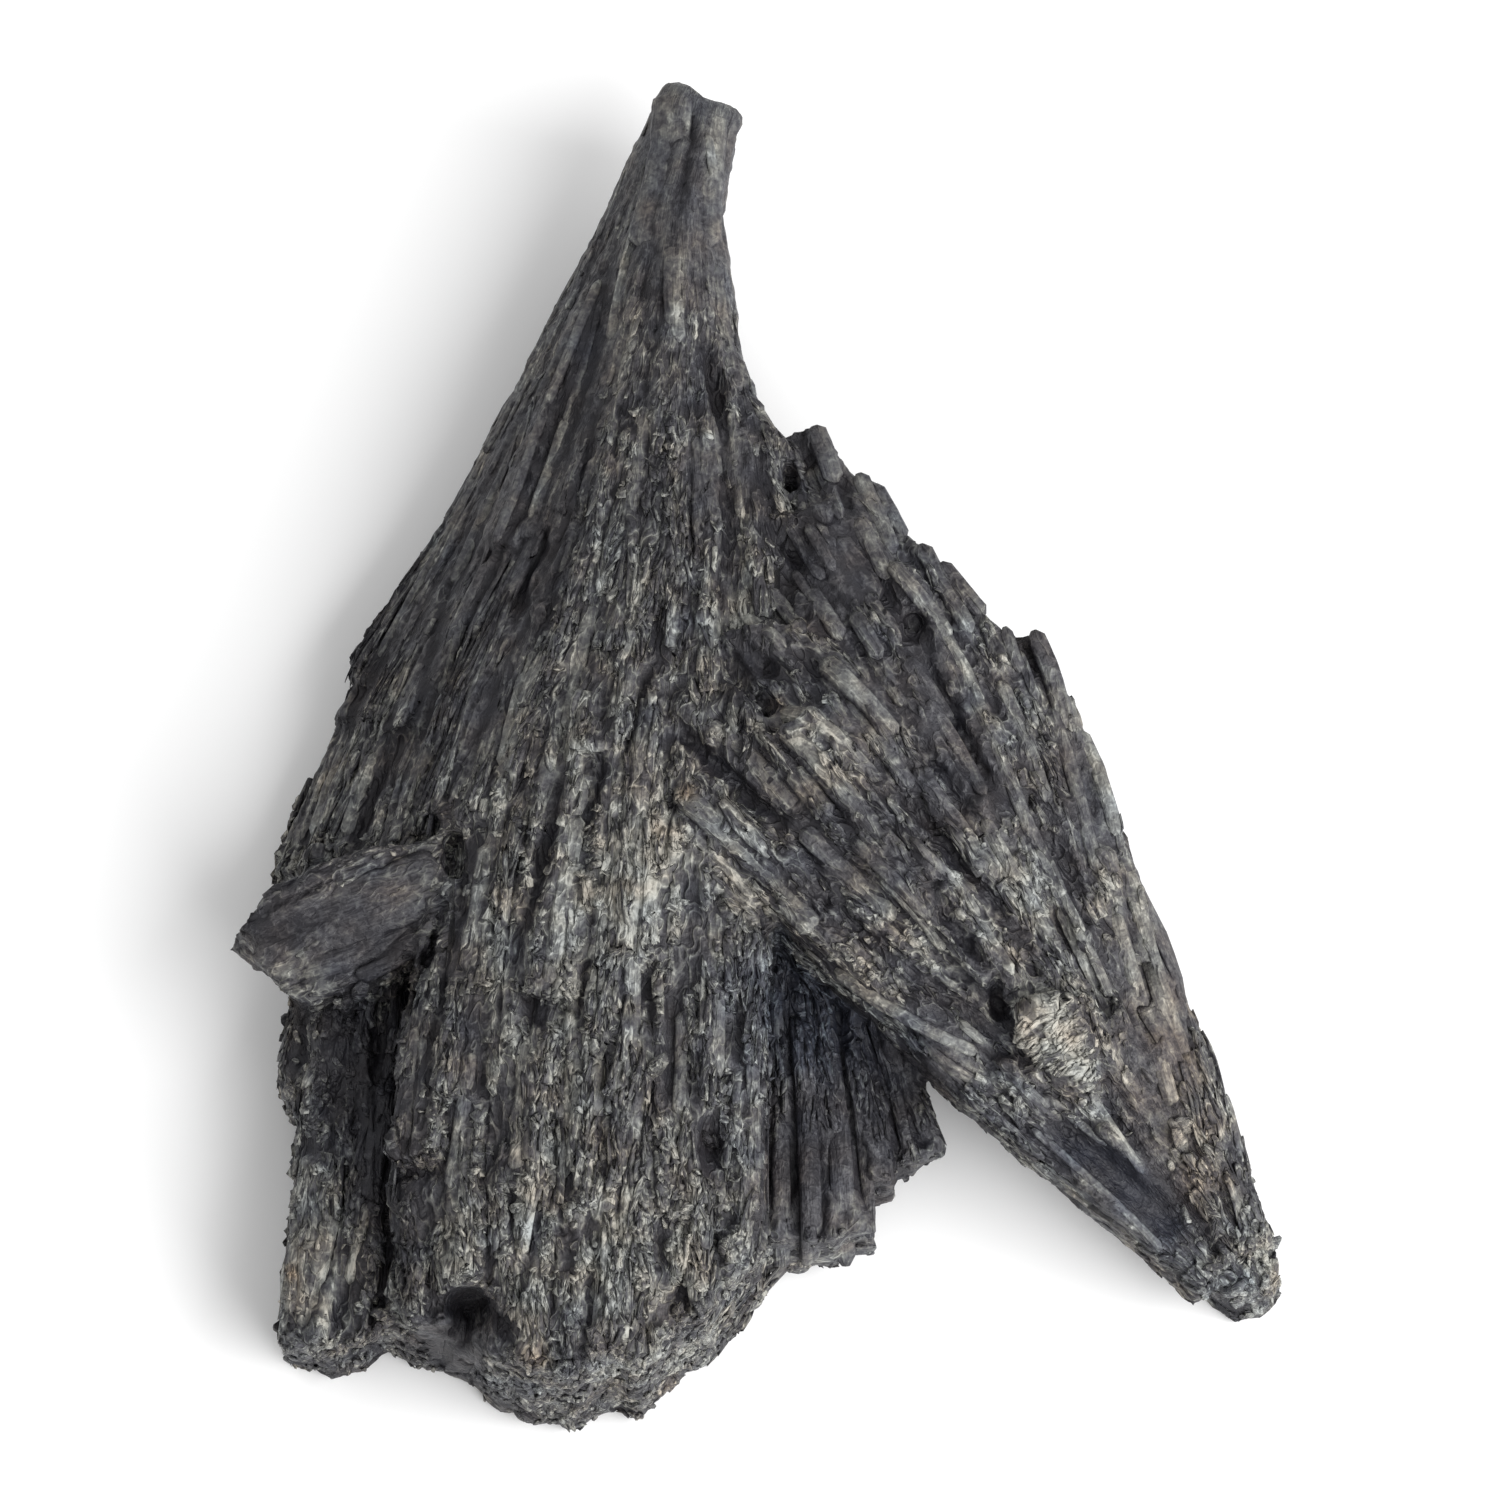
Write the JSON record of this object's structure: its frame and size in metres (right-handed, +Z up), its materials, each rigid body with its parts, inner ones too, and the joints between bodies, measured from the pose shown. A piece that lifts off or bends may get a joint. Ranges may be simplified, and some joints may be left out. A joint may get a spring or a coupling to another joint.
{
  "type": "taramite fan",
  "caption": "Hand specimen of black bladed crystals: a long fan that spreads from a narrow handle, crossed by a second fan whose blunt tip rests on the table.",
  "frame": {"origin": "middle of the bounding box, at the table the specimen lies on", "axes": "+Y from the splayed ends to the handle, +X to the second fan's tip, +Z up from the table"},
  "size_m": [0.0618, 0.0812, 0.0198],
  "materials": {
    "crystal": "matte charcoal blades with a faint silky sheen, pale where they are broken"
  },
  "bodies": {
    "root": {"crystal_fan": "crystal"}
  },
  "joints": []
}
